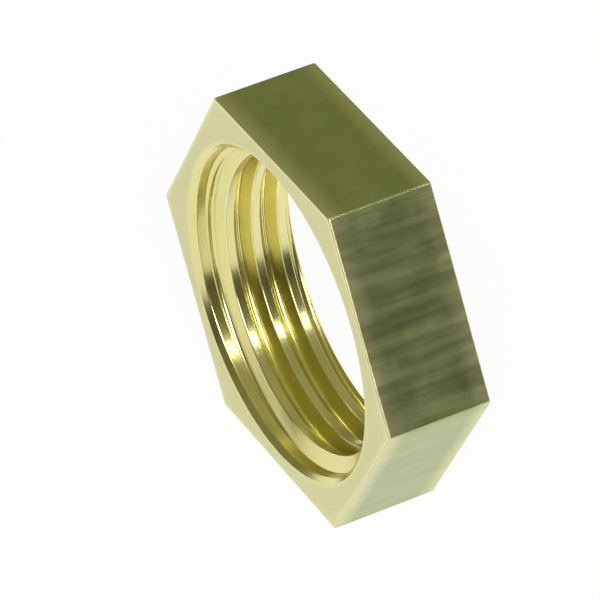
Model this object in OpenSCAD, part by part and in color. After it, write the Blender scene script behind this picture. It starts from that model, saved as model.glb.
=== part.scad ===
// Brass hexagon nut with a parallel pipe thread, cut from drawn bar.
// It is drawn along its own axis and then stood up on one of its flats. The origin is at the
// middle of that flat, +Z points up, and the hole runs along Y with the front face towards -Y.

/* [Hexagon] */
// Distance between two opposite flats
across_flats = 24; // [23.5:0.5:40]
// Distance from the rear face to the front face
thickness = 7; // [5:0.5:30]
// Radius along the six long corners of the bar
corner_radius = 0.3; // [0.1:0.05:1]
// Width of the break along the outer edges of both faces
edge_break = 0.15; // [0.05:0.05:0.4]

/* [Thread] */
// Diameter across the roots of the thread
major_diameter = 20.955; // [19:0.005:21.2]
// Number of turns of the thread in one inch
turns_per_inch = 14; // [11:1:19]
// Height of the thread ridge, from its root to the drilled hole
ridge_height = 0.8975; // [0.8:0.0025:1.15]
// Angle around the hole at which the groove crosses the rear face
start_angle = 145; // [0:1:359]

/* [Countersinks] */
// Gap from the thread's root to the rim of each countersink, measured along the face
rim_gap = 0.3225; // [0.1:0.0025:0.5]
// Full angle of the countersinking tool
countersink_angle = 120; // [90:5:130]

/* [Smoothness] */
// Steps in one turn of the thread's groove
steps_per_turn = 60; // [36:6:96]
// Steps in the rounded root of the groove
root_steps = 4; // [2:1:8]

/* [Hidden] */

brass = [0.80, 0.71, 0.42];
inch = 25.4;
side_count = 6;
side_angle = 360 / side_count;
// How far a cutter runs past the face that it opens
cutter_overrun = 1;
$fn = 96;

// Hexagon: the sharp corners, and the centres of their arcs
flat_radius = across_flats / 2;
sharp_radius = flat_radius / cos(side_angle / 2);
arc_centre_radius = sharp_radius - corner_radius / cos(side_angle / 2);
straight_side = 2 * arc_centre_radius * sin(side_angle / 2);

// Thread form with a flank angle of 55 degrees and a rounded root, as functions of the pitch
flank_half_angle = 27.5;
root_radius_share = 0.137329;
// Share of the pitch that the open side of the groove cutter takes up inside the hole
cutter_mouth_share = 0.94;

pitch = inch / turns_per_inch;
major_radius = major_diameter / 2;
hole_radius = major_radius - ridge_height;
root_radius = root_radius_share * pitch;
root_centre = major_radius - root_radius;
// The root's arc meets each flank this far round from the middle of the groove
root_sweep = 90 - flank_half_angle;
flank_start_r = root_centre + root_radius * cos(root_sweep);
flank_start_z = root_radius * sin(root_sweep);
cutter_half_mouth = cutter_mouth_share * pitch / 2;
cutter_inner_r = flank_start_r - (cutter_half_mouth - flank_start_z) / tan(flank_half_angle);

// The cutter starts and ends with its whole section outside the nut
first_angle = start_angle - 360 * (cutter_half_mouth + cutter_overrun) / pitch;
travel = thickness + 2 * (cutter_half_mouth + cutter_overrun);
step_angle = 360 / steps_per_turn;
step_count = ceil(360 * travel / pitch / step_angle);

// Countersinks
rim_radius = major_radius + rim_gap;
countersink_slope = tan(countersink_angle / 2);
countersink_depth = (rim_radius - hole_radius) / countersink_slope;

// Section of the bar: six straight sides joined by six tangent arcs
module bar_section() {
    circle(r = arc_centre_radius, $fn = side_count);
    for (side = [0 : side_count - 1]) {
        rotate((side + 0.5) * side_angle)
            translate([0, -straight_side / 2])
                square([flat_radius, straight_side]);
        rotate(side * side_angle)
            translate([arc_centre_radius, 0])
                circle(r = corner_radius);
    }
}

// One square bar laid along each outer edge, turned so that it cuts a bevel
module edge_breaks() {
    bar = edge_break * sqrt(2);
    for (z = [0, thickness])
        for (side = [0 : side_count - 1])
            rotate((side + 0.5) * side_angle)
                translate([flat_radius, 0, z])
                    rotate([0, 45, 0])
                        cube([bar, 2 * sharp_radius, bar], center = true);
}

// Hole and both countersinks, turned as one profile
module hole() {
    end_radius = rim_radius + cutter_overrun * countersink_slope;
    rotate_extrude()
        polygon([
            [0, -cutter_overrun],
            [end_radius, -cutter_overrun],
            [hole_radius, countersink_depth],
            [hole_radius, thickness - countersink_depth],
            [end_radius, thickness + cutter_overrun],
            [0, thickness + cutter_overrun]
        ]);
}

// Section of the groove cutter as [radius, height]: lower mouth, rounded root, upper mouth
function groove_section() = [
    [cutter_inner_r, -cutter_half_mouth],
    for (i = [0 : root_steps])
        let (a = root_sweep * (2 * i / root_steps - 1))
            [root_centre + root_radius * cos(a), root_radius * sin(a)],
    [cutter_inner_r, cutter_half_mouth]
];

// The section carried round the axis on a right-hand helix
module groove() {
    section = groove_section();
    corners = len(section);
    points = [
        for (step = [0 : step_count])
            let (a = first_angle + step * step_angle, rise = pitch * (a - start_angle) / 360)
                for (p = section)
                    [p[0] * cos(a), p[0] * sin(a), p[1] + rise]
    ];
    sides = [
        for (step = [0 : step_count - 1], i = [0 : corners - 1])
            let (
                here = step * corners + i,
                beside = step * corners + (i + 1) % corners,
                ahead = here + corners,
                ahead_beside = beside + corners
            )
                each [[here, beside, ahead], [beside, ahead_beside, ahead]]
    ];
    start_cap = [for (i = [corners - 1 : -1 : 0]) i];
    end_cap = [for (i = [0 : corners - 1]) step_count * corners + i];
    polyhedron(points = points, faces = concat(sides, [start_cap, end_cap]), convexity = 10);
}

// The nut along its own axis, with the rear face at height 0
module threaded_blank() {
    difference() {
        difference() {
            linear_extrude(thickness) bar_section();
            edge_breaks();
            hole();
        }
        groove();
    }
}

module nut() {
    color(brass)
        translate([0, 0, flat_radius])
            rotate([90, 0, 0])
                translate([0, 0, -thickness / 2])
                    threaded_blank();
}

nut();
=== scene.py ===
"""Brass hexagon nut with a female pipe thread, standing on one of its flats on a white floor.

The CAD solid stays as the frame. One finer mesh of the same nut replaces it: a smooth helix,
rounded edges and corners, and three finishes, for the drawn flats, the turned faces and the cut bore.
"""

import math

import bpy
import numpy as np
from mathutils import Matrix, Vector


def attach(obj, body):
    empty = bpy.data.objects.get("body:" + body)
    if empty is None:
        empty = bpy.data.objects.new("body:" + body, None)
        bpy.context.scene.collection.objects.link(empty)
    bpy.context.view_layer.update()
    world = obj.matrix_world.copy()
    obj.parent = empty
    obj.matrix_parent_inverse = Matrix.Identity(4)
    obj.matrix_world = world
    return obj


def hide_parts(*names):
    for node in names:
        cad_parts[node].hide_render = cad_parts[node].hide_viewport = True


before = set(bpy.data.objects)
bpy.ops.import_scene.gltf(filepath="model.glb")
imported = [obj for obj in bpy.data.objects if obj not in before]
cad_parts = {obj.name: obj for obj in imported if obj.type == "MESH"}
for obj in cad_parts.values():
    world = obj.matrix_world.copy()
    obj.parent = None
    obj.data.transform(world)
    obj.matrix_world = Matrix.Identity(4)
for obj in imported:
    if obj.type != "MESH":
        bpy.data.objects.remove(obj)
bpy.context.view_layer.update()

MM = 0.001

# Sizes that part.scad gives the nut, in millimetres and degrees
ACROSS_FLATS = 24.0
THICKNESS = 7.0
CORNER_RADIUS = 0.3
EDGE_BREAK = 0.15
MAJOR_RADIUS = 20.955 / 2
PITCH = 25.4 / 14
HOLE_RADIUS = MAJOR_RADIUS - 0.8975
FRONT_RIM_RADIUS = MAJOR_RADIUS + 0.4225
FRONT_HALF_ANGLE = math.radians(45)
RELIEF_RADIUS = MAJOR_RADIUS + 0.05
RELIEF_DEPTH = 1.0
RELIEF_END_HALF_ANGLE = math.radians(60)
REAR_RIM_RADIUS = MAJOR_RADIUS + 0.3225
REAR_HALF_ANGLE = math.radians(60)
START_ANGLE = math.radians(132)
FLANK_HALF_ANGLE = math.radians(27.5)
ROOT_RADIUS = 0.137329 * PITCH

# Detail that only the visible nut has
CREST_BLEND = 0.10
ENTRY_BLEND = 0.06
RIM_FILLET = 0.15
SIDE_COLUMNS = 30
CORNER_COLUMNS = 6
BORE_ROWS = 336
RIM_ROWS = 3
FACE_ROWS = 8
EDGE_ROWS = 5
FLANK_ROWS = 6

# The photograph's viewpoint
VIEW_AZIMUTH = math.radians(61.363)
VIEW_ELEVATION = math.radians(38.644)
VIEW_ROLL = math.radians(1.398)
VIEW_DISTANCE = 372.77 * MM
VIEW_LENS = 368.09
VIEW_SENSOR = 36.0
AIM_RIGHT = -1.508 * MM
AIM_UP = -0.218 * MM


# ---- Geometry of the nut, in its own frame: z runs from the rear face to the front face

def smooth_max(a, b, width):
    """The larger of two heights, rounded where they cross."""
    overlap = np.maximum(width - np.abs(a - b), 0) / width
    return np.maximum(a, b) + overlap * overlap * width / 4


def groove_radius(offset):
    """Radius of the thread groove at an axial distance from its centre: rounded root, straight flanks."""
    offset = np.abs(offset)
    root_centre = MAJOR_RADIUS - ROOT_RADIUS
    flank_start = ROOT_RADIUS * math.cos(FLANK_HALF_ANGLE)
    flank_top = root_centre + ROOT_RADIUS * math.sin(FLANK_HALF_ANGLE)
    rounded = root_centre + np.sqrt(np.maximum(ROOT_RADIUS ** 2 - np.minimum(offset, flank_start) ** 2, 0))
    straight = flank_top - (offset - flank_start) / math.tan(FLANK_HALF_ANGLE)
    return np.where(offset < flank_start, rounded, straight)


def bore_radius(angle, z):
    """Radius of the inner wall: the hole, the thread, the front relief with its chamfer, the rear countersink."""
    turns = (z / PITCH) - (angle - START_ANGLE) / (2 * math.pi)
    offset = (turns - np.round(turns)) * PITCH
    wall = smooth_max(groove_radius(offset), np.full_like(offset, HOLE_RADIUS), CREST_BLEND)
    depth = THICKNESS - z
    relief = RELIEF_RADIUS - np.maximum(depth - RELIEF_DEPTH, 0) * math.tan(RELIEF_END_HALF_ANGLE)
    wall = smooth_max(wall, relief, ENTRY_BLEND)
    wall = smooth_max(wall, FRONT_RIM_RADIUS - depth * math.tan(FRONT_HALF_ANGLE), ENTRY_BLEND)
    return smooth_max(wall, REAR_RIM_RADIUS - z * math.tan(REAR_HALF_ANGLE), ENTRY_BLEND)


def hexagon_columns():
    """One column of the mesh for each point round the hexagon: the point and the outward direction there."""
    points, normals = [], []
    apothem = ACROSS_FLATS / 2
    arc_centre = (apothem - CORNER_RADIUS) / math.cos(math.pi / 6)
    for side in range(6):
        corner = side * math.pi / 3
        centre = arc_centre * np.array([math.cos(corner), math.sin(corner)])
        for i in range(CORNER_COLUMNS + 1):
            a = corner + (i / CORNER_COLUMNS - 0.5) * math.pi / 3
            normal = np.array([math.cos(a), math.sin(a)])
            points.append(centre + CORNER_RADIUS * normal)
            normals.append(normal)
        next_corner = corner + math.pi / 3
        next_centre = arc_centre * np.array([math.cos(next_corner), math.sin(next_corner)])
        along = next_centre - centre
        for i in range(1, SIDE_COLUMNS):
            points.append(points[-i] + along * i / SIDE_COLUMNS)
            normals.append(normals[-i])
    return np.array(points), np.array(normals)


def edge_widths(angles, phase):
    """Width of the broken edge round the hexagon, a little uneven as a worn edge is."""
    waves = 0.10 * np.sin(3 * angles + phase) + 0.07 * np.sin(7 * angles + 2.1 * phase)
    return EDGE_BREAK * (0.9 + waves)


def build_rows():
    """Rows of points and normals round the nut's cross-section, each row once round the axis."""
    outline, outward = hexagon_columns()
    angles = np.arctan2(outline[:, 1], outline[:, 0])
    radial = np.stack([np.cos(angles), np.sin(angles)], 1)
    count = len(angles)
    rows = []

    def add(xy, z, normal_xy, normal_z, finish, wear_and_sheen):
        """One row. finish says which material the band after this row has."""
        z = np.broadcast_to(z, (count,))
        normal_z = np.broadcast_to(normal_z, (count,))
        rows.append((
            np.column_stack([xy, z]),
            np.column_stack([normal_xy, normal_z]),
            finish,
            np.broadcast_to(wear_and_sheen, (count,)),
        ))

    def rim_fillet(half_angle):
        """Turn of the surface over a rim, the length that its fillet takes up along the face, and its depth."""
        slant = math.pi / 2 - half_angle
        tangent = RIM_FILLET * math.tan(slant / 2)
        return slant, tangent, tangent * math.sin(slant)

    rear_fillet_depth = rim_fillet(REAR_HALF_ANGLE)[2]
    front_fillet_depth = rim_fillet(FRONT_HALF_ANGLE)[2]

    # Bore, from the rear countersink to the front one
    step = 1e-4
    for i in range(BORE_ROWS + 1):
        z = rear_fillet_depth + (THICKNESS - rear_fillet_depth - front_fillet_depth) * i / BORE_ROWS
        z_row = np.full(count, z)
        r = bore_radius(angles, z_row)
        slope_z = (bore_radius(angles, z_row + step) - bore_radius(angles, z_row - step)) / (2 * step)
        slope_a = (bore_radius(angles + step, z_row) - bore_radius(angles - step, z_row)) / (2 * step)
        across = np.stack([-radial[:, 1], radial[:, 0]], 1)
        normal_xy = -r[:, None] * radial + slope_a[:, None] * across
        # This mask paints the thread crests lighter in colour: partly rubbed wear, partly a painted highlight.
        crest = np.clip(1 - np.abs(r - HOLE_RADIUS - CREST_BLEND / 4) / CREST_BLEND, 0, 1)
        add(radial * r[:, None], z_row, normal_xy, r * slope_z, CUT, crest)

    # Front face outwards, over the broken edge, down the flats and back over the rear face
    for front in (True, False):
        height = THICKNESS if front else 0.0
        up = 1.0 if front else -1.0
        widths = edge_widths(angles, 0.7 if front else 2.9)
        face_edge = outline - outward * widths[:, None]
        slant, tangent, _ = rim_fillet(FRONT_HALF_ANGLE if front else REAR_HALF_ANGLE)
        rim_start = (FRONT_RIM_RADIUS if front else REAR_RIM_RADIUS) + tangent

        band = []
        # The last value of each row paints the rim fillets, the face's outer edge and the broken edges lighter:
        # partly rubbed wear, partly a painted highlight.
        for i in range(1, RIM_ROWS + 1):
            a = slant * (1 - i / RIM_ROWS)
            r = rim_start - RIM_FILLET * math.sin(a)
            drop = RIM_FILLET * (1 - math.cos(a))
            band.append((radial * r, height - up * drop, -radial * math.sin(a), up * math.cos(a), TURNED, 0.6))
        for i in range(1, FACE_ROWS + 1):
            share = i / FACE_ROWS
            xy = radial * rim_start * (1 - share) + face_edge * share
            band.append((xy, height, radial * 0, up, TURNED, share ** 12))
        for i in range(1, EDGE_ROWS + 1):
            a = i / EDGE_ROWS * math.pi / 2
            xy = face_edge + outward * (widths * math.sin(a))[:, None]
            z = height - up * widths * (1 - math.cos(a))
            band.append((xy, z, outward * math.sin(a), up * math.cos(a), DRAWN, 1.0))
        if front:
            for row in band:
                add(*row)
            rear_widths = edge_widths(angles, 2.9)
            top = THICKNESS - widths
            for i in range(1, FLANK_ROWS):
                share = i / FLANK_ROWS
                z = top * (1 - share) + rear_widths * share
                add(outline, z, outward, 0.0, DRAWN, 0.0)
        else:
            for row in reversed(band):
                add(*row)
    return rows


CUT, TURNED, DRAWN = 0, 1, 2


def build_nut():
    """The closed mesh, stood up on its lower flat in the row frame, with exact normals."""
    rows = build_rows()
    columns = len(rows[0][0])
    points = np.concatenate([row[0] for row in rows])
    normals = np.concatenate([row[1] for row in rows])
    normals /= np.linalg.norm(normals, axis=1)[:, None]
    wear_and_sheen = np.concatenate([row[3] for row in rows])

    def stand(v):
        return np.column_stack([v[:, 0], -v[:, 2], v[:, 1]])

    points = stand(points - [0, 0, THICKNESS / 2]) + [0, 0, ACROSS_FLATS / 2]
    normals = stand(normals)

    here = np.arange(columns)
    beside = (here + 1) % columns
    faces, finishes = [], []
    for i, row in enumerate(rows):
        low = i * columns
        high = (i + 1) % len(rows) * columns
        faces.append(np.column_stack([low + here, high + here, high + beside, low + beside]))
        finishes.append(np.full(columns, row[2]))
    faces = np.concatenate(faces)

    mesh = bpy.data.meshes.new("nut_body")
    mesh.from_pydata((points * MM).tolist(), [], faces.tolist())
    mesh.polygons.foreach_set("material_index", np.concatenate(finishes).astype(np.int32))
    mesh.polygons.foreach_set("use_smooth", np.ones(len(faces), bool))
    # This attribute makes crests, rims and edges lighter in colour: partly rubbed wear, partly a painted highlight.
    mesh.attributes.new("wear_and_sheen", "FLOAT", "POINT").data.foreach_set("value", wear_and_sheen.astype(np.float32))
    mesh.validate()
    mesh.normals_split_custom_set_from_vertices(normals.tolist())
    nut = bpy.data.objects.new("nut_body", mesh)
    bpy.context.scene.collection.objects.link(nut)
    return nut


# ---- Materials

class Nodes:
    """Short calls for building one node tree."""

    def __init__(self, tree):
        self.tree = tree

    def add(self, kind, **settings):
        node = self.tree.nodes.new(kind)
        for name, value in settings.items():
            setattr(node, name, value)
        return node

    def join(self, output, socket):
        self.tree.links.new(output, socket)

    def feed(self, value, socket):
        """Link an output, or set a constant."""
        if isinstance(value, bpy.types.NodeSocket):
            self.join(value, socket)
        else:
            socket.default_value = value

    def math(self, operation, a, b=0.0, clamp=False):
        node = self.add("ShaderNodeMath", operation=operation, use_clamp=clamp)
        self.feed(a, node.inputs[0])
        self.feed(b, node.inputs[1])
        return node.outputs[0]

    def noise(self, vector, scale, detail=3.0, roughness=0.5):
        node = self.add("ShaderNodeTexNoise")
        self.join(vector, node.inputs["Vector"])
        node.inputs["Scale"].default_value = scale
        node.inputs["Detail"].default_value = detail
        node.inputs["Roughness"].default_value = roughness
        return node.outputs["Fac"]

    def spread(self, value, low, high, to_low=0.0, to_high=1.0):
        """Maps low..high to to_low..to_high, held at both ends."""
        node = self.add("ShaderNodeMapRange")
        self.join(value, node.inputs["Value"])
        for name, number in (("From Min", low), ("From Max", high), ("To Min", to_low), ("To Max", to_high)):
            node.inputs[name].default_value = number
        return node.outputs["Result"]

    def mix(self, factor, a, b):
        node = self.add("ShaderNodeMix", data_type="RGBA")
        self.feed(factor, node.inputs["Factor"])
        self.feed(a, node.inputs["A"])
        self.feed(b, node.inputs["B"])
        return node.outputs["Result"]

    def combine(self, x, y, z):
        node = self.add("ShaderNodeCombineXYZ")
        for socket, value in zip(node.inputs, (x, y, z)):
            self.feed(value, socket)
        return node.outputs[0]

    def bump(self, height, distance, strength, before=None):
        node = self.add("ShaderNodeBump")
        node.inputs["Strength"].default_value = strength
        node.inputs["Distance"].default_value = distance
        self.join(height, node.inputs["Height"])
        if before is not None:
            self.join(before, node.inputs["Normal"])
        return node.outputs["Normal"]


def start_material(name):
    """A material with a metallic shader, and the coordinates that all three finishes use."""
    material = bpy.data.materials.new(name)
    material.use_nodes = True
    nodes = Nodes(material.node_tree)
    shader = material.node_tree.nodes["Principled BSDF"]
    shader.inputs["Metallic"].default_value = 1.0
    place = nodes.add("ShaderNodeTexCoord").outputs["Object"]
    split = nodes.add("ShaderNodeSeparateXYZ")
    nodes.join(place, split.inputs[0])
    x, y, z = split.outputs
    z = nodes.math("SUBTRACT", z, ACROSS_FLATS / 2 * MM)
    return material, nodes, shader, place, (x, y, z)


def round_coordinates(nodes, x, z):
    """Distance from the thread's axis in metres, and the angle round it in radians."""
    squares = nodes.math("ADD", nodes.math("MULTIPLY", x, x), nodes.math("MULTIPLY", z, z))
    return nodes.math("SQRT", squares), nodes.math("ARCTAN2", z, x)


# Factor for lighter colour on edges, rims and crests: partly rubbed wear, partly a painted highlight.
def wear_and_sheen_factor(nodes):
    return nodes.add("ShaderNodeAttribute", attribute_name="wear_and_sheen").outputs["Fac"]


def drawn_brass():
    """Flats of the drawn bar: fine streaks along the bar, dull patches, and edges painted lighter, partly as rubbed
    metal and partly as a painted highlight.
    """
    material, nodes, shader, place, (x, y, z) = start_material("brass_drawn")
    streak_place = nodes.combine(x, nodes.math("MULTIPLY", y, 0.02), z)
    streaks = nodes.noise(streak_place, 9000, 4.0, 0.6)
    bands = nodes.noise(nodes.combine(x, nodes.math("MULTIPLY", y, 0.08), z), 1200, 3.0)
    patches = nodes.noise(place, 420, 5.0, 0.62)
    tone = nodes.mix(nodes.spread(patches, 0.35, 0.68), (0.43, 0.49, 0.22, 1), (0.50, 0.55, 0.27, 1))
    tone = nodes.mix(nodes.spread(streaks, 0.3, 0.8, 0.0, 0.35), tone, (0.32, 0.35, 0.13, 1))
    # Lighter colour on the broken edges: partly rubbed wear, partly a painted highlight.
    tone = nodes.mix(nodes.math("MULTIPLY", wear_and_sheen_factor(nodes), 0.8), tone, (0.78, 0.76, 0.42, 1))
    nodes.join(tone, shader.inputs["Base Color"])
    rough = nodes.math("ADD", nodes.spread(bands, 0.3, 0.7, 0.27, 0.37), nodes.spread(patches, 0.35, 0.7, 0.0, 0.06))
    nodes.join(rough, shader.inputs["Roughness"])
    height = nodes.math("ADD", streaks, nodes.math("MULTIPLY", bands, 0.5))
    nodes.join(nodes.bump(height, 0.002 * MM, 0.7), shader.inputs["Normal"])
    return material


def turned_brass():
    """Faces and rims: pale satin with fine concentric tool marks."""
    material, nodes, shader, place, (x, y, z) = start_material("brass_turned")
    radius, angle = round_coordinates(nodes, x, z)
    ring_place = nodes.combine(radius, nodes.math("MULTIPLY", angle, 0.0002), y)
    rings = nodes.noise(ring_place, 11000, 3.0, 0.6)
    clouds = nodes.noise(place, 260, 4.0, 0.6)
    tone = nodes.mix(nodes.spread(clouds, 0.35, 0.7), (0.66, 0.64, 0.30, 1), (0.72, 0.70, 0.36, 1))
    tone = nodes.mix(nodes.spread(rings, 0.35, 0.75, 0.0, 0.25), tone, (0.56, 0.54, 0.24, 1))
    # Lighter colour on the rim fillets and the face's outer edge: partly rubbed wear, partly a painted highlight.
    tone = nodes.mix(nodes.math("MULTIPLY", wear_and_sheen_factor(nodes), 0.8), tone, (0.84, 0.80, 0.44, 1))
    nodes.join(tone, shader.inputs["Base Color"])
    nodes.join(nodes.spread(clouds, 0.3, 0.7, 0.28, 0.38), shader.inputs["Roughness"])
    nodes.join(nodes.bump(rings, 0.004 * MM, 0.7), shader.inputs["Normal"])
    return material


def cut_brass():
    """Bore, thread and countersinks: bright metal with the marks of the tap round it."""
    material, nodes, shader, place, (x, y, z) = start_material("brass_cut")
    radius, angle = round_coordinates(nodes, x, z)
    mark_place = nodes.combine(radius, nodes.math("MULTIPLY", angle, 0.0004), y)
    marks = nodes.noise(mark_place, 9000, 3.0, 0.6)
    chatter = nodes.noise(nodes.combine(nodes.math("MULTIPLY", angle, 0.01), radius, y), 700, 2.0)
    clouds = nodes.noise(place, 300, 4.0, 0.6)
    tone = nodes.mix(nodes.spread(clouds, 0.35, 0.7), (0.76, 0.70, 0.30, 1), (0.84, 0.78, 0.34, 1))
    # The thread crests are painted lighter than the grooves: partly rubbed wear, partly a painted highlight.
    tone = nodes.mix(nodes.math("MULTIPLY", wear_and_sheen_factor(nodes), 0.5), tone, (0.88, 0.84, 0.46, 1))
    nodes.join(tone, shader.inputs["Base Color"])
    nodes.join(nodes.spread(clouds, 0.3, 0.7, 0.16, 0.26), shader.inputs["Roughness"])
    height = nodes.math("ADD", marks, nodes.math("MULTIPLY", chatter, 1.5))
    nodes.join(nodes.bump(height, 0.005 * MM, 0.6), shader.inputs["Normal"])
    return material


# ---- Stage

def white_floor():
    """A white floor that the camera and reflections see as white, with the nut's soft shadow on it."""
    reach = 4.0
    mesh = bpy.data.meshes.new("floor")
    mesh.from_pydata([(-reach, -reach, 0), (reach, -reach, 0), (reach, reach, 0), (-reach, reach, 0)], [], [(0, 1, 2, 3)])
    floor = bpy.data.objects.new("floor", mesh)
    bpy.context.scene.collection.objects.link(floor)
    material = bpy.data.materials.new("floor_white")
    material.use_nodes = True
    nodes = Nodes(material.node_tree)
    material.node_tree.nodes.clear()
    lit = nodes.add("ShaderNodeBsdfDiffuse")
    lit.inputs["Color"].default_value = (0.9, 0.9, 0.9, 1)
    glow = nodes.add("ShaderNodeEmission")
    glow.inputs["Color"].default_value = (1, 1, 1, 1)
    glow.inputs["Strength"].default_value = 1.0
    path = nodes.add("ShaderNodeLightPath")
    seen = nodes.math("MAXIMUM", path.outputs["Is Camera Ray"], path.outputs["Is Glossy Ray"])
    seen = nodes.math("MAXIMUM", seen, path.outputs["Is Transmission Ray"])
    blend = nodes.add("ShaderNodeMixShader")
    nodes.join(nodes.math("MULTIPLY", seen, FLOOR_GLOW), blend.inputs[0])
    nodes.join(lit.outputs[0], blend.inputs[1])
    nodes.join(glow.outputs[0], blend.inputs[2])
    out = nodes.add("ShaderNodeOutputMaterial")
    nodes.join(blend.outputs[0], out.inputs["Surface"])
    mesh.materials.append(material)
    return floor


FLOOR_GLOW = 0.95


def studio_world():
    """White to the camera. Reflections see a dim room, lighter overhead and behind the camera's left."""
    world = bpy.data.worlds.new("studio")
    bpy.context.scene.world = world
    world.use_nodes = True
    nodes = Nodes(world.node_tree)
    world.node_tree.nodes.clear()
    direction = nodes.add("ShaderNodeTexCoord").outputs["Generated"]
    split = nodes.add("ShaderNodeSeparateXYZ")
    nodes.join(direction, split.inputs[0])
    x, y, z = split.outputs
    lift = nodes.spread(z, 0.25, 0.95, 0.0, 0.20)
    left = nodes.spread(x, 0.5, -0.7, 0.0, 0.12)
    level = nodes.math("ADD", nodes.math("ADD", lift, left), 0.07)
    room = nodes.add("ShaderNodeBackground")
    room.inputs["Color"].default_value = (1.0, 1.0, 0.55, 1)
    nodes.join(level, room.inputs["Strength"])
    white = nodes.add("ShaderNodeBackground")
    white.inputs["Color"].default_value = (1, 1, 1, 1)
    path = nodes.add("ShaderNodeLightPath")
    blend = nodes.add("ShaderNodeMixShader")
    nodes.join(path.outputs["Is Camera Ray"], blend.inputs[0])
    nodes.join(room.outputs[0], blend.inputs[1])
    nodes.join(white.outputs[0], blend.inputs[2])
    out = nodes.add("ShaderNodeOutputWorld")
    nodes.join(blend.outputs[0], out.inputs["Surface"])


def soft_lamp(name, place, aim, width, power):
    """A square soft box that faces a point."""
    data = bpy.data.lights.new(name, "AREA")
    data.shape = "SQUARE"
    data.size = width
    data.energy = power
    lamp = bpy.data.objects.new(name, data)
    lamp.location = place
    lamp.rotation_euler = (Vector(aim) - Vector(place)).to_track_quat("-Z", "Y").to_euler()
    bpy.context.scene.collection.objects.link(lamp)
    return lamp


def photo_camera(centre):
    """The camera at the photograph's angle, distance and framing."""
    azimuth, elevation = VIEW_AZIMUTH, VIEW_ELEVATION
    back = Vector((
        math.sin(azimuth) * math.cos(elevation),
        -math.cos(azimuth) * math.cos(elevation),
        math.sin(elevation),
    ))
    level_right = Vector((0, 0, 1)).cross(back).normalized()
    level_up = back.cross(level_right)
    right = level_right * math.cos(VIEW_ROLL) - level_up * math.sin(VIEW_ROLL)
    up = level_up * math.cos(VIEW_ROLL) + level_right * math.sin(VIEW_ROLL)
    data = bpy.data.cameras.new("camera")
    data.sensor_width = VIEW_SENSOR
    data.lens = VIEW_LENS
    data.clip_start = 0.01
    data.clip_end = 20.0
    camera = bpy.data.objects.new("camera", data)
    aim = centre + right * AIM_RIGHT + up * AIM_UP
    camera.location = aim + back * VIEW_DISTANCE
    rotation = camera.rotation_euler.to_matrix()
    for row in range(3):
        rotation[row] = (right[row], up[row], back[row])
    camera.rotation_euler = rotation.to_euler()
    bpy.context.scene.collection.objects.link(camera)
    bpy.context.scene.camera = camera


nut_centre = Vector((0, 0, ACROSS_FLATS / 2 * MM))
bpy.context.scene.view_settings.view_transform = "Standard"
photo_camera(nut_centre)
studio_world()
white_floor()
soft_lamp("lamp_key", (0.69, -0.37, 0.64), nut_centre, 0.50, 9.0)
soft_lamp("lamp_strip", (0.44, 0.30, 0.62), nut_centre, 0.09, 0.22)

nut = build_nut()
for material in (cut_brass(), turned_brass(), drawn_brass()):
    nut.data.materials.append(material)
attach(nut, "root")
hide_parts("nut")
